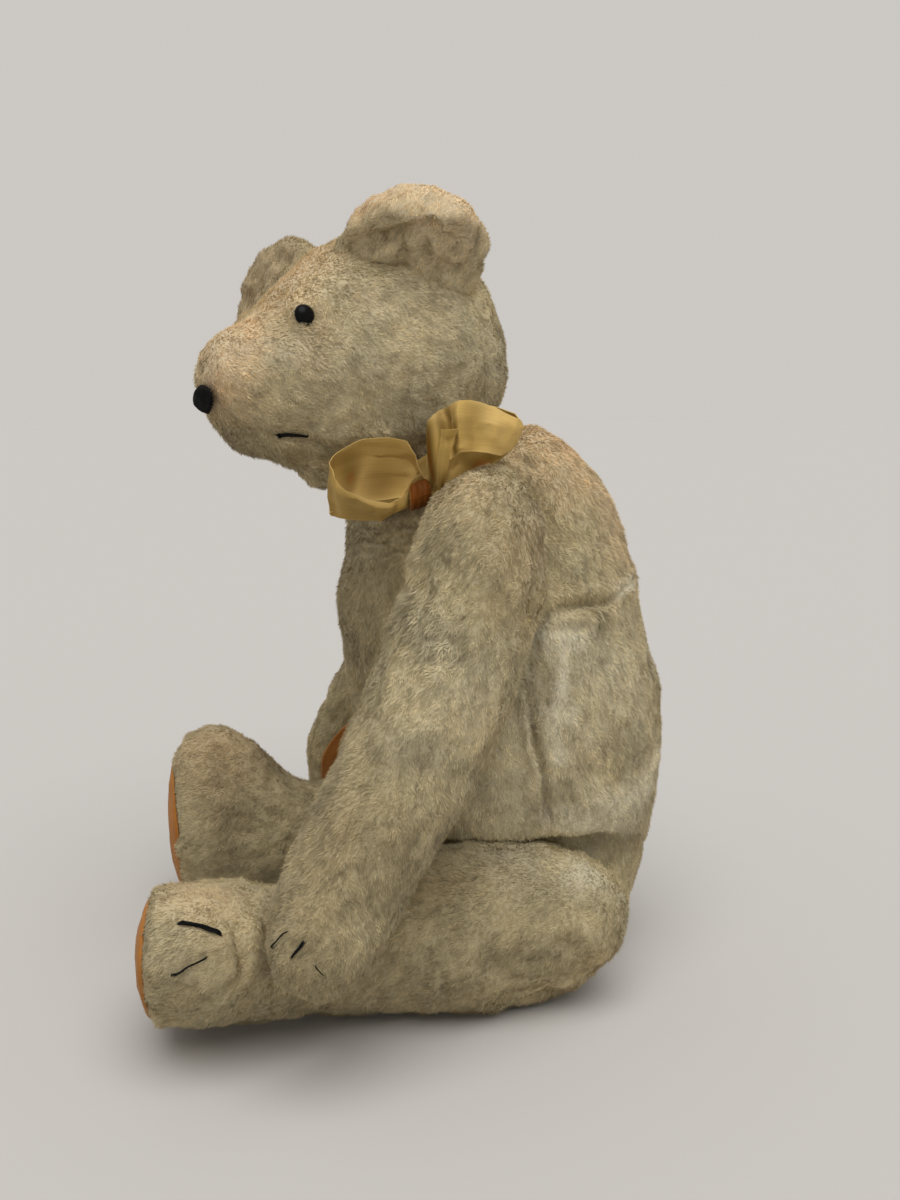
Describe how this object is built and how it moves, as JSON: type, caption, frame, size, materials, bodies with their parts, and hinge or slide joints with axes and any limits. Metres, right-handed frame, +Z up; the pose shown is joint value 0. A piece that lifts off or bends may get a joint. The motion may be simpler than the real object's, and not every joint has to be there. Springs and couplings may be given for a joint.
{
  "type": "teddy bear",
  "caption": "Worn cream mohair teddy bear, sitting with its head turned, disc-jointed neck, shoulders and hips, felt paw and foot pads, black floss nose and claws, gold ribbon bow.",
  "frame": {"origin": "a point in the flat spot that the body sits on, on the bear's middle plane between the hips", "axes": "+Z up, -Y the way the body and feet face, +X the bear's own left"},
  "size_m": [0.2658, 0.2175, 0.319],
  "materials": {
    "cover_mohair": "short worn cream mohair pile, mottled grey and tan",
    "felt": "thick rust-gold felt",
    "floss": "black embroidery floss",
    "button_black": "black boot button, slightly scuffed",
    "ribbon_cloth": "stiff faded gold ribbon",
    "disc_board": "pressed board joint disc",
    "joint_steel": "dull steel joint hardware"
  },
  "bodies": {
    "trunk": {"torso": "cover_mohair", "neck_ribbon": "ribbon_cloth", "neck_disc_inner": "disc_board", "neck_washer_inner": "joint_steel", "neck_cotter_pin": "joint_steel", "shoulder_left_disc_inner": "disc_board", "shoulder_left_washer_inner": "joint_steel", "shoulder_left_cotter_pin": "joint_steel", "shoulder_right_disc_inner": "disc_board", "shoulder_right_washer_inner": "joint_steel", "shoulder_right_cotter_pin": "joint_steel", "hip_left_disc_inner": "disc_board", "hip_left_washer_inner": "joint_steel", "hip_left_cotter_pin": "joint_steel", "hip_right_disc_inner": "disc_board", "hip_right_washer_inner": "joint_steel", "hip_right_cotter_pin": "joint_steel"},
    "head_unit": {"head": "cover_mohair", "ear_left": "cover_mohair", "ear_right": "cover_mohair", "eye_left": "button_black", "eye_right": "button_black", "nose": "floss", "mouth_left": "floss", "mouth_right": "floss", "neck_disc_outer": "disc_board", "neck_washer_outer": "joint_steel"},
    "left_arm": {"arm_left": "cover_mohair", "paw_pad_left": "felt", "paw_claw_left_1": "floss", "paw_claw_left_2": "floss", "paw_claw_left_3": "floss", "shoulder_left_disc_outer": "disc_board", "shoulder_left_washer_outer": "joint_steel"},
    "right_arm": {"arm_right": "cover_mohair", "paw_pad_right": "felt", "paw_claw_right_1": "floss", "paw_claw_right_2": "floss", "paw_claw_right_3": "floss", "shoulder_right_disc_outer": "disc_board", "shoulder_right_washer_outer": "joint_steel"},
    "left_leg": {"leg_left": "cover_mohair", "foot_pad_left": "felt", "foot_claw_left_1": "floss", "foot_claw_left_2": "floss", "hip_left_disc_outer": "disc_board", "hip_left_washer_outer": "joint_steel"},
    "right_leg": {"leg_right": "cover_mohair", "foot_pad_right": "felt", "foot_claw_right_1": "floss", "foot_claw_right_2": "floss", "hip_right_disc_outer": "disc_board", "hip_right_washer_outer": "joint_steel"}
  },
  "joints": [
    {"name": "neck_turn", "type": "hinge", "parent": "trunk", "child": "head_unit", "pos_m": [0, -0.049, 0.211], "axis": [0, -0.3584, 0.9336], "continuous": true},
    {"name": "shoulder_left_turn", "type": "hinge", "parent": "trunk", "child": "left_arm", "pos_m": [0.043, -0.034, 0.185], "axis": [0.9588, 0, 0.284], "range_deg": [-4, 110]},
    {"name": "shoulder_right_turn", "type": "hinge", "parent": "trunk", "child": "right_arm", "pos_m": [-0.043, -0.034, 0.185], "axis": [0.9588, 0, -0.284], "range_deg": [-85, 110]},
    {"name": "hip_left_turn", "type": "hinge", "parent": "trunk", "child": "left_leg", "pos_m": [0.0285, -0.004, 0.033], "axis": [1, 0, 0], "range_deg": [-2, 100]},
    {"name": "hip_right_turn", "type": "hinge", "parent": "trunk", "child": "right_leg", "pos_m": [-0.0285, -0.004, 0.033], "axis": [1, 0, 0], "range_deg": [-2, 100]}
  ]
}
